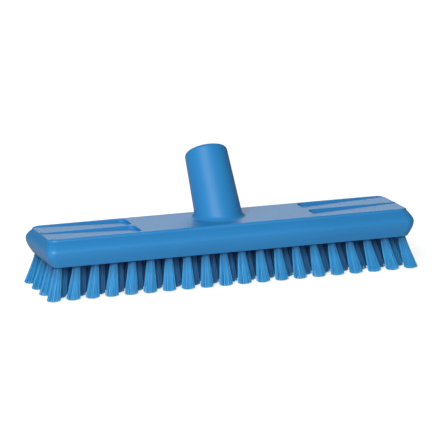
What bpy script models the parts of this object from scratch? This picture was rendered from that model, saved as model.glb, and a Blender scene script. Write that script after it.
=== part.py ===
"""Deck scrub brush: a moulded block with a leaning handle socket, and seven rows of bristle
tufts, each with its root and its flat wire anchor in a blind hole of the block.

Metres, +Z up. The long side runs along X, the handle leans towards +Y, and the bristle tips
stand on z = 0. The origin is the middle of the brush on the floor.
"""

import math

import bmesh
import bpy
from mathutils import Matrix, Vector

# Block
BLOCK_LENGTH = 0.305
BLOCK_DEPTH = 0.076
BLOCK_HEIGHT = 0.0215
NOSE_HEIGHT = 0.0118
TOP_INSET_END = 0.0054
TOP_INSET_FACE = 0.0098
UNDER_INSET_END = 0.0055
UNDER_INSET_FACE = 0.0038
TOP_EDGE_RADIUS = 0.0020
TOP_CORNER_RADIUS = 0.0050
NOSE_CORNER_RADIUS = 0.0050
UNDER_CORNER_RADIUS = 0.0026
NOSE_ROUND_SHARE = 0.45
FLANK_SHARES = (0.2, 0.5, 1.0)
CORNER_STEPS = 4
EDGE_STEPS = 3

# Grooves in the top, two at each end, whose floors rise towards the end
GROOVE_DEPTH = 0.0026
GROOVE_END_DEPTH = 0.0007
GROOVE_START = 0.0725
GROOVE_CORNER_RADIUS = 0.005
GROOVE_RIM = 0.0022
GROOVE_RIB = 0.0034

# Handle socket
SOCKET_LEAN = math.radians(33)
SOCKET_FOOT_Y = 0.0048
SOCKET_LENGTH = 0.0568
SOCKET_FOOT_RADIUS = 0.0189
SOCKET_MOUTH_RADIUS = 0.0172
SOCKET_RIM_RADIUS = 0.0030
SOCKET_FILLET = 0.0036
SOCKET_ROOT = 0.0040
SOCKET_SEAT = 0.0002
SOCKET_SIDES = 32
FILLET_STEPS = 4

# Bore and coarse internal thread
BORE_RADIUS = 0.0104
THREAD_ROOT_RADIUS = 0.0116
BORE_DEPTH = 0.043
BORE_LEAD_IN = 0.004
THREAD_PITCH = 0.005
THREAD_TURNS = 4
THREAD_WIDTH_SHARE = 0.56
THREAD_CREST_SHARE = 0.30
THREAD_SINK = 0.0008
THREAD_STEPS = 24

# Tufts: the gaps run from the underside's edges to the middles of the outer tufts
BRISTLE_LENGTH = 0.0265
ROWS = 7
ROW_EDGE_GAP = 0.0048
TUFTS_IN_LONG_ROW = 20
TUFT_END_GAP = 0.0044
STRANDS_IN_TUFT = 3
STRAND_SIDES = 3
STRAND_ROOT_RADIUS = 0.00135
STRAND_TIP_RADIUS = 0.00200
STRAND_ROOT_RING = 0.00170
STRAND_TIP_RING = 0.00310
STRAND_SINK = 0.0008
END_SPLAY = math.radians(14)
END_SPLAY_POWER = 1.1
FACE_SPLAY = math.radians(12)

# Slice of the underside under each row, and the tuft roots in their holes
SLICE_THICKNESS = 0.0030
POCKET_WALL_END = 0.0010
POCKET_WALL_FACE = 0.0012
ROOT_RADIUS = 0.0030
ROOT_HEIGHT = 0.0075
ROOT_SIDES = 6
ROOT_SINK = 0.0008

# Anchors of flat wire, one across the top of each root
ANCHOR_LENGTH = 0.0052
ANCHOR_HEIGHT = 0.0022
ANCHOR_THICKNESS = 0.0005

CLEARANCE = 0.0003
OVERRUN = 0.010

BLOCK_BLUE = (0.045, 0.255, 0.570, 1.0)
BRISTLE_BLUE = (0.070, 0.330, 0.680, 1.0)
PLASTIC_ROUGHNESS = 0.42
BRISTLE_ROUGHNESS = 0.50

# Levels and half sizes that follow from the values above
UNDERSIDE_Z = BRISTLE_LENGTH
TOP_Z = UNDERSIDE_Z + BLOCK_HEIGHT
NOSE_Z = UNDERSIDE_Z + NOSE_HEIGHT
SLICE_TOP_Z = UNDERSIDE_Z + SLICE_THICKNESS
POCKET_TOP_Z = SLICE_TOP_Z + CLEARANCE
ROOT_TOP_Z = SLICE_TOP_Z + ROOT_HEIGHT
ANCHOR_TOP_Z = ROOT_TOP_Z + ANCHOR_HEIGHT
HOLE_TOP_Z = ANCHOR_TOP_Z + CLEARANCE
POCKET_HALF_LENGTH = BLOCK_LENGTH / 2 - UNDER_INSET_END - POCKET_WALL_END
POCKET_HALF_DEPTH = BLOCK_DEPTH / 2 - UNDER_INSET_FACE - POCKET_WALL_FACE
TOP_HALF_DEPTH = BLOCK_DEPTH / 2 - TOP_INSET_FACE
FILLET_MARGIN = TOP_EDGE_RADIUS / 2
HOLE_RADIUS = ROOT_RADIUS + CLEARANCE / math.cos(math.pi / ROOT_SIDES)
LONG_ROW_HALF = BLOCK_LENGTH / 2 - UNDER_INSET_END - TUFT_END_GAP
TUFT_PITCH = LONG_ROW_HALF * 2 / (TUFTS_IN_LONG_ROW - 1)
ROWS_HALF_DEPTH = BLOCK_DEPTH / 2 - UNDER_INSET_FACE - ROW_EDGE_GAP
ROW_PITCH = ROWS_HALF_DEPTH * 2 / (ROWS - 1)
SOCKET_AXIS = Vector((0, math.sin(SOCKET_LEAN), math.cos(SOCKET_LEAN)))
SOCKET_FOOT = Vector((0, SOCKET_FOOT_Y, TOP_Z))


def clear_scene():
    for old in list(bpy.data.objects):
        bpy.data.objects.remove(old, do_unlink=True)


def principled(name, colour, roughness):
    material = bpy.data.materials.new(name)
    material.use_nodes = True
    shader = material.node_tree.nodes["Principled BSDF"]
    shader.inputs["Base Color"].default_value = colour
    shader.inputs["Roughness"].default_value = roughness
    shader.inputs["Metallic"].default_value = 0
    return material


def new_object(name, shape, material=None):
    """Turn a bmesh into a named object whose faces point outwards."""
    bmesh.ops.recalc_face_normals(shape, faces=shape.faces)
    mesh = bpy.data.meshes.new(name)
    shape.to_mesh(mesh)
    shape.free()
    made = bpy.data.objects.new(name, mesh)
    bpy.context.scene.collection.objects.link(made)
    if material:
        mesh.materials.append(material)
    return made


def add_loft(shape, rings):
    """Skin a closed body through rings that have the same number of points."""
    loops = [[shape.verts.new(point) for point in ring] for ring in rings]
    count = len(loops[0])
    for low, high in zip(loops, loops[1:]):
        for i in range(count):
            j = (i + 1) % count
            shape.faces.new((low[i], low[j], high[j], high[i]))
    shape.faces.new(loops[0][::-1])
    shape.faces.new(loops[-1])


def boolean(target, other, operation):
    """Join another body to the target or cut it out, and hide the other body."""
    other.hide_render = True
    other.display_type = "WIRE"
    step = target.modifiers.new(other.name, "BOOLEAN")
    step.operation = operation
    step.solver = "EXACT"
    step.object = other


def polygon(centre, radius, sides, turn, z):
    """Corners of a regular polygon in a level plane."""
    points = []
    for i in range(sides):
        angle = turn + math.tau * i / sides
        points.append(Vector((centre[0] + radius * math.cos(angle),
                              centre[1] + radius * math.sin(angle), z)))
    return points


def rounded_rectangle(half_length, half_depth, radius, z):
    """Points round a level rectangle whose corners are arcs."""
    points = []
    for quarter, (side_x, side_y) in enumerate(((1, 1), (-1, 1), (-1, -1), (1, -1))):
        centre_x = side_x * (half_length - radius)
        centre_y = side_y * (half_depth - radius)
        for i in range(CORNER_STEPS + 1):
            angle = math.pi / 2 * (quarter + i / CORNER_STEPS)
            points.append(Vector((centre_x + radius * math.cos(angle),
                                  centre_y + radius * math.sin(angle), z)))
    return points


def block_ring(inset_end, inset_face, radius, z):
    return rounded_rectangle(BLOCK_LENGTH / 2 - inset_end, BLOCK_DEPTH / 2 - inset_face,
                             radius, z)


def flank_share(share):
    """How far the flank has drawn in at a share of the way from the nose to its edge."""
    nose = NOSE_ROUND_SHARE
    return (math.hypot(share, nose) - nose) / (math.hypot(1, nose) - nose)


def corner_radius(edge_radius, drawn):
    """The radius in plan goes from the nose's to the edge's as the flank draws in."""
    return NOSE_CORNER_RADIUS + (edge_radius - NOSE_CORNER_RADIUS) * drawn


def block_body():
    """The bull-nosed block: rings from the underside, over the nose, to the rounded top edge."""
    rings = []
    for share in reversed(FLANK_SHARES):
        drawn = flank_share(share)
        rings.append(block_ring(UNDER_INSET_END * drawn, UNDER_INSET_FACE * drawn,
                                corner_radius(UNDER_CORNER_RADIUS, drawn),
                                NOSE_Z - NOSE_HEIGHT * share))
    rings.append(block_ring(0, 0, NOSE_CORNER_RADIUS, NOSE_Z))
    flank_height = BLOCK_HEIGHT - NOSE_HEIGHT - TOP_EDGE_RADIUS
    for share in FLANK_SHARES:
        drawn = flank_share(share)
        rings.append(block_ring((TOP_INSET_END - TOP_EDGE_RADIUS) * drawn,
                                (TOP_INSET_FACE - TOP_EDGE_RADIUS) * drawn,
                                corner_radius(TOP_CORNER_RADIUS, drawn),
                                NOSE_Z + flank_height * share))
    for i in range(1, EDGE_STEPS + 1):
        angle = math.pi / 2 * i / EDGE_STEPS
        back = TOP_EDGE_RADIUS * math.cos(angle)
        rings.append(block_ring(TOP_INSET_END - back, TOP_INSET_FACE - back, TOP_CORNER_RADIUS,
                                TOP_Z - TOP_EDGE_RADIUS * (1 - math.sin(angle))))
    shape = bmesh.new()
    add_loft(shape, rings)
    return shape


def groove_floor_z(x):
    """The floor rises evenly from the groove's start to the end of the top."""
    share = (x - GROOVE_START) / (BLOCK_LENGTH / 2 - TOP_INSET_END - GROOVE_START)
    return TOP_Z - GROOVE_DEPTH + (GROOVE_DEPTH - GROOVE_END_DEPTH) * share


def groove_cutters():
    """Four shallow grooves that start beside the socket and run out through the ends."""
    shape = bmesh.new()
    inner = GROOVE_RIB / 2
    outer = TOP_HALF_DEPTH - GROOVE_RIM
    end = BLOCK_LENGTH / 2 + OVERRUN
    radius = GROOVE_CORNER_RADIUS
    for side_x in (-1, 1):
        for side_y in (-1, 1):
            outline = [(end, inner), (end, outer)]
            for i in range(CORNER_STEPS + 1):
                angle = math.pi / 2 * (1 + i / CORNER_STEPS)
                outline.append((GROOVE_START + radius + radius * math.cos(angle),
                                outer - radius + radius * math.sin(angle)))
            for i in range(CORNER_STEPS + 1):
                angle = math.pi / 2 * (2 + i / CORNER_STEPS)
                outline.append((GROOVE_START + radius + radius * math.cos(angle),
                                inner + radius + radius * math.sin(angle)))
            floor = [Vector((side_x * x, side_y * y, groove_floor_z(x))) for x, y in outline]
            above = [Vector((point.x, point.y, TOP_Z + OVERRUN)) for point in floor]
            add_loft(shape, [floor, above])
    return shape


def socket_radius(along):
    """Outer radius of the tapered socket at a distance along its axis."""
    share = along / SOCKET_LENGTH
    return SOCKET_FOOT_RADIUS + (SOCKET_MOUTH_RADIUS - SOCKET_FOOT_RADIUS) * share


def socket_square_ring(along, radius):
    """A ring square to the socket's axis."""
    across = Vector((0, math.cos(SOCKET_LEAN), -math.sin(SOCKET_LEAN)))
    centre = SOCKET_FOOT + SOCKET_AXIS * along
    points = []
    for i in range(SOCKET_SIDES):
        angle = math.tau * i / SOCKET_SIDES
        points.append(centre + Vector((radius * math.cos(angle), 0, 0))
                      + across * (radius * math.sin(angle)))
    return points


def socket_level_ring(height, flare_share):
    """Where the socket's cone meets a level plane, flared outwards for the foot's fillet."""
    taper = (SOCKET_FOOT_RADIUS - SOCKET_MOUTH_RADIUS) / SOCKET_LENGTH
    points = []
    for i in range(SOCKET_SIDES):
        angle = math.tau * i / SOCKET_SIDES
        tilt = math.sin(angle) * math.sin(SOCKET_LEAN)
        along = (height + SOCKET_FOOT_RADIUS * tilt) / (math.cos(SOCKET_LEAN) + taper * tilt)
        radius = socket_radius(along)
        x = radius * math.cos(angle)
        y = along * math.sin(SOCKET_LEAN) + radius * math.sin(angle) * math.cos(SOCKET_LEAN)
        # The fillet is full at the sides and takes the room that is left towards the edges.
        edge_y = math.copysign(TOP_HALF_DEPTH, math.sin(angle))
        foot_y = SOCKET_FOOT_Y + math.sin(angle) * SOCKET_FOOT_RADIUS / math.cos(SOCKET_LEAN)
        room = max(abs(edge_y - foot_y) - FILLET_MARGIN, SOCKET_SEAT)
        flare = min(SOCKET_FILLET, room) * flare_share
        points.append(Vector((x + flare * math.cos(angle),
                              SOCKET_FOOT_Y + y + flare * math.sin(angle), TOP_Z + height)))
    return points


def socket_rings():
    """Rings from inside the block, up the fillet and the cone, to the rounded rim."""
    rings = [socket_level_ring(-SOCKET_SEAT, 1)]
    rings.insert(0, [point - Vector((0, 0, SOCKET_ROOT)) for point in rings[0]])
    for i in range(1, FILLET_STEPS + 1):
        angle = math.pi / 2 * i / FILLET_STEPS
        rings.append(socket_level_ring(SOCKET_FILLET * (1 - math.cos(angle)) - SOCKET_SEAT,
                                       1 - math.sin(angle)))
    rim_start = SOCKET_LENGTH - SOCKET_RIM_RADIUS
    for i in range(EDGE_STEPS + 1):
        angle = math.pi / 2 * i / EDGE_STEPS
        radius = socket_radius(rim_start) - SOCKET_RIM_RADIUS * (1 - math.cos(angle))
        rings.append(socket_square_ring(rim_start + SOCKET_RIM_RADIUS * math.sin(angle), radius))
    return rings


def bore_cutter():
    """The plain bore with its wider lead-in at the mouth."""
    shape = bmesh.new()
    floor = SOCKET_LENGTH - BORE_DEPTH
    lead = SOCKET_LENGTH - BORE_LEAD_IN
    step = THREAD_ROOT_RADIUS - BORE_RADIUS
    add_loft(shape, [socket_square_ring(floor, BORE_RADIUS),
                     socket_square_ring(lead - step, BORE_RADIUS),
                     socket_square_ring(lead, THREAD_ROOT_RADIUS),
                     socket_square_ring(SOCKET_LENGTH + OVERRUN, THREAD_ROOT_RADIUS)])
    return shape


def thread_cutter():
    """The thread's groove: a trapezoid swept round the bore."""
    shape = bmesh.new()
    across = Vector((0, math.cos(SOCKET_LEAN), -math.sin(SOCKET_LEAN)))
    start = SOCKET_LENGTH - BORE_LEAD_IN - THREAD_PITCH * (THREAD_TURNS + THREAD_WIDTH_SHARE)
    wide = THREAD_PITCH * THREAD_WIDTH_SHARE / 2
    narrow = THREAD_PITCH * THREAD_CREST_SHARE / 2
    profile = ((BORE_RADIUS - THREAD_SINK, -wide), (BORE_RADIUS - THREAD_SINK, wide),
               (THREAD_ROOT_RADIUS, narrow), (THREAD_ROOT_RADIUS, -narrow))
    sections = []
    for i in range(THREAD_TURNS * THREAD_STEPS + 1):
        angle = math.tau * i / THREAD_STEPS
        outward = Vector((math.cos(angle), 0, 0)) + across * math.sin(angle)
        centre = SOCKET_FOOT + SOCKET_AXIS * (start + THREAD_PITCH * i / THREAD_STEPS)
        sections.append([centre + outward * radius + SOCKET_AXIS * offset
                         for radius, offset in profile])
    add_loft(shape, sections)
    return shape


def row_y(row):
    return ROW_PITCH * (row - (ROWS - 1) / 2)


def tuft_places(row):
    """Tuft centres of one row. Every other row is one tuft shorter and staggered."""
    count = TUFTS_IN_LONG_ROW - row % 2
    return [Vector((TUFT_PITCH * (i - (count - 1) / 2), row_y(row), 0)) for i in range(count)]


def tuft_lean(place):
    """How far the tips of a tuft stand out from its root, in X and in Y."""
    outward = abs(place.x) / LONG_ROW_HALF
    splay_x = math.copysign(END_SPLAY * outward ** END_SPLAY_POWER, place.x)
    splay_y = FACE_SPLAY * place.y / row_y(ROWS - 1)
    return Vector((math.tan(splay_x), math.tan(splay_y), 0)) * BRISTLE_LENGTH


def add_strands(shape, place):
    """The strands of one tuft, spreading from the root ring to the flat-cut tips."""
    tip = place + tuft_lean(place)
    sink = STRAND_SINK / BRISTLE_LENGTH
    # One strand of each tuft points to the nearer end of the brush.
    first_turn = math.pi if place.x < 0 else 0
    for i in range(STRANDS_IN_TUFT):
        turn = first_turn + math.tau * i / STRANDS_IN_TUFT
        outward = Vector((math.cos(turn), math.sin(turn), 0))
        low = polygon(tip + outward * STRAND_TIP_RING, STRAND_TIP_RADIUS, STRAND_SIDES, turn, 0)
        high = polygon(place + outward * STRAND_ROOT_RING, STRAND_ROOT_RADIUS, STRAND_SIDES,
                       turn, UNDERSIDE_Z)
        buried = [end + (end - start) * sink for start, end in zip(low, high)]
        add_loft(shape, [low, buried])


def slice_body(row):
    """The strip of the underside that one row of tufts stands in."""
    low_y = row_y(row) - ROW_PITCH / 2 + CLEARANCE / 2
    high_y = row_y(row) + ROW_PITCH / 2 - CLEARANCE / 2
    if row == 0:
        low_y = CLEARANCE - POCKET_HALF_DEPTH
    if row == ROWS - 1:
        high_y = POCKET_HALF_DEPTH - CLEARANCE
    half = POCKET_HALF_LENGTH - CLEARANCE
    outline = ((-half, low_y), (half, low_y), (half, high_y), (-half, high_y))
    shape = bmesh.new()
    add_loft(shape, [[Vector((x, y, z)) for x, y in outline]
                     for z in (UNDERSIDE_Z, SLICE_TOP_Z)])
    return shape


def add_root(shape, place, radius, low_z, high_z):
    add_loft(shape, [polygon(place, radius, ROOT_SIDES, 0, z) for z in (low_z, high_z)])


def add_anchor(shape, place):
    """The flat wire that holds a folded tuft, joined to the top of its root."""
    half_x = ANCHOR_LENGTH / 2
    half_y = ANCHOR_THICKNESS / 2
    outline = [(place.x + side_x * half_x, place.y + side_y * half_y)
               for side_x, side_y in ((-1, -1), (1, -1), (1, 1), (-1, 1))]
    add_loft(shape, [[Vector((x, y, z)) for x, y in outline]
                     for z in (ROOT_TOP_Z - ROOT_SINK, ANCHOR_TOP_Z)])


def tuft_row(row, material):
    """One row: its slice of the underside, the strands below, and the roots above it."""
    name = f"tuft_row_{row + 1}"
    body = new_object(name, slice_body(row), material)
    strands = bmesh.new()
    roots = bmesh.new()
    anchors = bmesh.new()
    for place in tuft_places(row):
        add_strands(strands, place)
        add_root(roots, place, ROOT_RADIUS, SLICE_TOP_Z - ROOT_SINK, ROOT_TOP_Z)
        add_anchor(anchors, place)
    boolean(body, new_object(f"{name}_strands", strands), "UNION")
    boolean(body, new_object(f"{name}_roots", roots), "UNION")
    boolean(body, new_object(f"{name}_anchors", anchors), "UNION")
    return body


def brush_block(material):
    """Block and socket in one moulding, with grooves, bore, thread, pocket and tuft holes."""
    block = new_object("brush_block", block_body(), material)
    boolean(block, new_object("grooves", groove_cutters()), "DIFFERENCE")
    socket = bmesh.new()
    add_loft(socket, socket_rings())
    boolean(block, new_object("socket", socket), "UNION")
    boolean(block, new_object("bore", bore_cutter()), "DIFFERENCE")
    boolean(block, new_object("thread", thread_cutter()), "DIFFERENCE")
    pocket = bmesh.new()
    outline = ((-POCKET_HALF_LENGTH, -POCKET_HALF_DEPTH), (POCKET_HALF_LENGTH, -POCKET_HALF_DEPTH),
               (POCKET_HALF_LENGTH, POCKET_HALF_DEPTH), (-POCKET_HALF_LENGTH, POCKET_HALF_DEPTH))
    add_loft(pocket, [[Vector((x, y, z)) for x, y in outline]
                      for z in (UNDERSIDE_Z - OVERRUN, POCKET_TOP_Z)])
    boolean(block, new_object("pocket", pocket), "DIFFERENCE")
    holes = bmesh.new()
    for row in range(ROWS):
        for place in tuft_places(row):
            add_root(holes, place, HOLE_RADIUS, POCKET_TOP_Z - ROOT_SINK, HOLE_TOP_Z)
    boolean(block, new_object("tuft_holes", holes), "DIFFERENCE")
    return block


def main():
    clear_scene()
    block_plastic = principled("block_plastic", BLOCK_BLUE, PLASTIC_ROUGHNESS)
    bristle_plastic = principled("bristle_plastic", BRISTLE_BLUE, BRISTLE_ROUGHNESS)
    brush_block(block_plastic)
    for row in range(ROWS):
        tuft_row(row, bristle_plastic)
    # The middle of the brush, from the tips of the front row to the back of the socket's rim.
    back = max(point.y for ring in socket_rings() for point in ring)
    front_root = Vector((0, row_y(0), 0))
    tip_reach = (STRAND_TIP_RING + STRAND_TIP_RADIUS) * math.sin(math.tau / STRANDS_IN_TUFT)
    front = row_y(0) + tuft_lean(front_root).y - tip_reach
    origin = bpy.data.objects.new("brush_origin", None)
    bpy.context.scene.collection.objects.link(origin)
    for piece in list(bpy.data.objects):
        if piece is not origin:
            piece.parent = origin
    origin.matrix_world = Matrix.Translation((0, -(front + back) / 2, 0))
    print("Y of the block's middle:", -(front + back) / 2)


main()
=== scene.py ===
# %% [markdown]
# # A deck scrub brush
# The brush is one blue moulding, 305 mm long, with a leaning socket for a long handle. Under it
# stand 137 bristle tufts in seven rows. Each tuft is a bundle of filaments that was folded over a
# flat wire and driven into a blind hole. This lesson dresses the finished CAD model: it makes a
# smoother moulding and thousands of real filaments, and gives each its finish.

# %% The frame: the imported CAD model, in metres
import math

import bmesh
import bpy
from mathutils import Matrix, Vector


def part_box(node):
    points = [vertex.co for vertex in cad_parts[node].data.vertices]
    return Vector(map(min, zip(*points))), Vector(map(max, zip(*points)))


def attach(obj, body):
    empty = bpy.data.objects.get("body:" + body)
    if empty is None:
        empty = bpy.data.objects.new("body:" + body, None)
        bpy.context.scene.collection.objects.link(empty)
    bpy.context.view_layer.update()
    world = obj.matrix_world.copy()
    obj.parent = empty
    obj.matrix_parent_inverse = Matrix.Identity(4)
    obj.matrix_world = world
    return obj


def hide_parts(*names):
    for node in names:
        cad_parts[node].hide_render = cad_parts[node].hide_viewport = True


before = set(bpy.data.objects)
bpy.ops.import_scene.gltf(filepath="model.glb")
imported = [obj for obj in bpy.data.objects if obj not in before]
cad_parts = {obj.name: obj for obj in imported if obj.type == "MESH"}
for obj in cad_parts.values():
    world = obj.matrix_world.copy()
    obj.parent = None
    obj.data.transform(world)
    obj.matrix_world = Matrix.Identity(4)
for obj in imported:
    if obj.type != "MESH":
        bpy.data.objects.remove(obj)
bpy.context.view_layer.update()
print("CAD pieces:", sorted(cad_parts))

# %% [markdown]
# ## Camera
# The photograph was taken with a long lens from the front left, a little above the block, and
# held a touch askew. The angles, the distance and the scale come from fitting the model's edges
# to the edges in the photograph. They could be tried by eye, but a fit of the long edges, the
# ends and the socket together settles the view and the proportions at once.

# %% Camera
CAMERA_TURN = math.radians(-17.58)
CAMERA_RISE = math.radians(11.95)
CAMERA_ROLL = math.radians(-1.35)
CAMERA_DISTANCE = 2.6
PIXELS_PER_METRE_AT_ONE_METRE = 3250
PHOTO_WIDTH = 440
SENSOR_WIDTH = 36
AIM_RIGHT = -0.00050
AIM_UP = 0.04218
CLIP_END = 100
# The socket leans out behind the block, so the block's middle lies in front of the model's. The
# middle row of tufts stands right under it.
row_front, row_back = [corner[1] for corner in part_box("tuft_row_4")]
BLOCK_MIDDLE = Vector((0, (row_front + row_back) / 2, 0))

level_back = Vector((math.sin(CAMERA_TURN), -math.cos(CAMERA_TURN), 0)) * math.cos(CAMERA_RISE)
BACK = level_back + Vector((0, 0, math.sin(CAMERA_RISE)))
level_right = Vector((math.cos(CAMERA_TURN), math.sin(CAMERA_TURN), 0))
level_up = BACK.cross(level_right)
RIGHT = level_right * math.cos(CAMERA_ROLL) + level_up * math.sin(CAMERA_ROLL)
UP = level_up * math.cos(CAMERA_ROLL) - level_right * math.sin(CAMERA_ROLL)

camera_data = bpy.data.cameras.new("camera")
camera_data.sensor_fit = "HORIZONTAL"
camera_data.sensor_width = SENSOR_WIDTH
camera_data.lens = PIXELS_PER_METRE_AT_ONE_METRE * SENSOR_WIDTH / PHOTO_WIDTH
camera_data.clip_end = CLIP_END
camera = bpy.data.objects.new("camera", camera_data)
bpy.context.scene.collection.objects.link(camera)
turn = Matrix((RIGHT, UP, BACK)).transposed()
place = BLOCK_MIDDLE + BACK * CAMERA_DISTANCE + level_right * AIM_RIGHT + level_up * AIM_UP
camera.matrix_world = Matrix.Translation(place) @ turn.to_4x4()
bpy.context.scene.camera = camera
bpy.context.scene.view_settings.view_transform = "Standard"
print("Lens:", round(camera_data.lens), "mm, camera at", [round(value, 2) for value in place])

# %% [markdown]
# ## Helpers for node trees
# Every finish and every repeated piece below is a small tree of nodes. One helper adds a node,
# sets its properties, and fills its sockets with plain values or with links. The next three are
# short names for nodes that come back often. Each has one result, and returns it.


# %% Helper: one node with its sockets filled
def add_node(tree, kind, sockets=None, **properties):
    """Add a node to a tree. Sockets are named or numbered; a socket as value makes a link."""
    made = tree.nodes.new(kind)
    for name, value in properties.items():
        setattr(made, name, value)
    for key, value in (sockets or {}).items():
        if isinstance(value, bpy.types.NodeSocket):
            tree.links.new(value, made.inputs[key])
        else:
            made.inputs[key].default_value = value
    return made


print("Helper ready:", add_node.__name__)


# %% Helpers: sums, ranges and noise
def math_node(tree, operation, *values):
    return add_node(tree, "ShaderNodeMath", dict(enumerate(values)),
                    operation=operation).outputs[0]


def ranged(tree, value, source, target):
    """A value carried over from one range to another, and held at its ends."""
    return add_node(tree, "ShaderNodeMapRange",
                    dict(enumerate((value, *source, *target)))).outputs[0]


def noise(tree, place, scale, detail):
    return add_node(tree, "ShaderNodeTexNoise",
                    {"Vector": place, "Scale": scale, "Detail": detail}).outputs[0]


print("Helpers ready:", math_node.__name__, ranged.__name__, noise.__name__)

# %% [markdown]
# ## Light
# The photograph is lit like a catalogue picture: one large soft light from the front left, a
# weak one from behind, and white all round. The back light grazes the level top and lays a pale
# sheen over it. The world is plain white where the camera meets it and dimmer as a light, so
# that the front light still gives the block its shape. It's dimmer still in a reflection, which
# leaves the flanks, the ends and the socket blue.

# %% World
WORLD_LIGHT = 0.17
ROOM_GLOSS = 0.13
WHITE = (1, 1, 1, 1)


def ray_kinds(tree):
    """Two switches: for a ray straight from the camera, and for one off gloss or through glass."""
    path = add_node(tree, "ShaderNodeLightPath").outputs
    return path["Is Camera Ray"], math_node(tree, "MAXIMUM", path["Is Glossy Ray"],
                                            path["Is Transmission Ray"])


world = bpy.data.worlds.new("white_studio")
bpy.context.scene.world = world
world.use_nodes = True
sky = world.node_tree
sky.nodes.clear()
from_camera, mirrored = ray_kinds(sky)
seen = math_node(sky, "MAXIMUM", from_camera, mirrored)
shown = math_node(sky, "MAXIMUM", from_camera, ROOM_GLOSS)
soft = add_node(sky, "ShaderNodeBackground", {"Color": WHITE, "Strength": WORLD_LIGHT})
white = add_node(sky, "ShaderNodeBackground", {"Color": WHITE, "Strength": shown})
either = add_node(sky, "ShaderNodeMixShader", {0: seen, 1: soft.outputs[0],
                                               2: white.outputs[0]})
add_node(sky, "ShaderNodeOutputWorld", {"Surface": either.outputs[0]})
print("World light:", WORLD_LIGHT)


# %% Lamps
def soft_lamp(name, azimuth, elevation, distance, size, power):
    """A square area lamp that looks at the block. Azimuth 0 is the front, 90 the left."""
    data = bpy.data.lights.new(name, "AREA")
    data.size = size
    data.energy = power
    lamp = bpy.data.objects.new(name, data)
    bpy.context.scene.collection.objects.link(lamp)
    around = math.radians(azimuth)
    above = math.radians(elevation)
    towards = Vector((-math.sin(around) * math.cos(above), -math.cos(around) * math.cos(above),
                      math.sin(above)))
    lamp.matrix_world = (Matrix.Translation(towards * distance)
                         @ towards.to_track_quat("Z", "Y").to_matrix().to_4x4())
    return lamp


lamps = [soft_lamp("front_light", azimuth=34, elevation=32, distance=2.2, size=1.5, power=48),
         soft_lamp("back_fill", azimuth=200, elevation=28, distance=2.2, size=1.2, power=8.5)]
print("Lamps:", [(lamp.name, lamp.data.energy) for lamp in lamps])

# %% [markdown]
# ## Floor
# The brush stands on a plain pale floor. The floor glows a little in the camera's eyes, which
# lifts it to the white of the photograph, and it still takes the brush's shadow. In a
# reflection it glows less, so that the glossy ends don't turn white.

# %% Floor
FLOOR_HALF = 6.0

floor_mesh = bpy.data.meshes.new("floor")
corners = [(x * FLOOR_HALF, y * FLOOR_HALF, 0) for x, y in ((-1, -1), (1, -1), (1, 1), (-1, 1))]
floor_mesh.from_pydata(corners, [], [(0, 1, 2, 3)])
floor = bpy.data.objects.new("floor", floor_mesh)
bpy.context.scene.collection.objects.link(floor)
print("Floor:", 2 * FLOOR_HALF, "m square")

# %% Finish: floor paint
FLOOR_GLOW = 0.72
FLOOR_GLOSS = 0.10
FLOOR_PALE = (0.60, 0.64)
CLOUD_SCALE = 1.5
CLOUD_DETAIL = 2.0

paint = bpy.data.materials.new("pale_floor")
paint.use_nodes = True
floor_mesh.materials.append(paint)
tree = paint.node_tree
tree.nodes.clear()
from_camera, mirrored = ray_kinds(tree)
glow = math_node(tree, "MULTIPLY_ADD", from_camera, FLOOR_GLOW,
                 math_node(tree, "MULTIPLY", mirrored, FLOOR_GLOSS))
spot = add_node(tree, "ShaderNodeTexCoord").outputs["Object"]
pale = ranged(tree, noise(tree, spot, CLOUD_SCALE, CLOUD_DETAIL), (0, 1), FLOOR_PALE)
pale_colour = add_node(tree, "ShaderNodeCombineColor", {0: pale, 1: pale, 2: pale})
matt = add_node(tree, "ShaderNodeBsdfDiffuse", {"Color": pale_colour.outputs[0]})
bright = add_node(tree, "ShaderNodeEmission", {"Strength": glow})
both = add_node(tree, "ShaderNodeAddShader", {0: matt.outputs[0], 1: bright.outputs[0]})
add_node(tree, "ShaderNodeOutputMaterial", {"Surface": both.outputs[0]})
print("Finish:", paint.name, len(tree.nodes), "nodes")

# %% [markdown]
# ## Sizes
# These are the CAD model's own sizes, apart from softer corners and a rounder nose. They are
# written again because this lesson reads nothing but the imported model. The block's outline is
# the same at every level, a rounded rectangle that draws in from the nose, its widest line,
# towards the top and towards the underside.

# %% Sizes of the block and its levels
BLOCK_LENGTH = 0.305
BLOCK_DEPTH = 0.076
BLOCK_HEIGHT = 0.0215
NOSE_HEIGHT = 0.0118
TOP_INSET_END = 0.0054
TOP_INSET_FACE = 0.0098
UNDER_INSET_END = 0.0055
UNDER_INSET_FACE = 0.0038
TOP_EDGE_RADIUS = 0.0020
UNDER_EDGE_RADIUS = 0.0007
TOP_CORNER_RADIUS = 0.0070
NOSE_CORNER_RADIUS = 0.0075
UNDER_CORNER_RADIUS = 0.0050
NOSE_ROUND_SHARE = 0.75
BRISTLE_LENGTH = 0.0265

UNDERSIDE_Z = BRISTLE_LENGTH
TOP_Z = UNDERSIDE_Z + BLOCK_HEIGHT
NOSE_Z = UNDERSIDE_Z + NOSE_HEIGHT
TOP_HALF_DEPTH = BLOCK_DEPTH / 2 - TOP_INSET_FACE
print("Levels: underside", UNDERSIDE_Z, "nose", NOSE_Z, "top", TOP_Z)

# %% [markdown]
# ## Lofts
# The block, the socket and every cutter are lofts: closed bodies skinned through rings that
# have the same number of points. Two helpers make the skin and the object.


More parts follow.
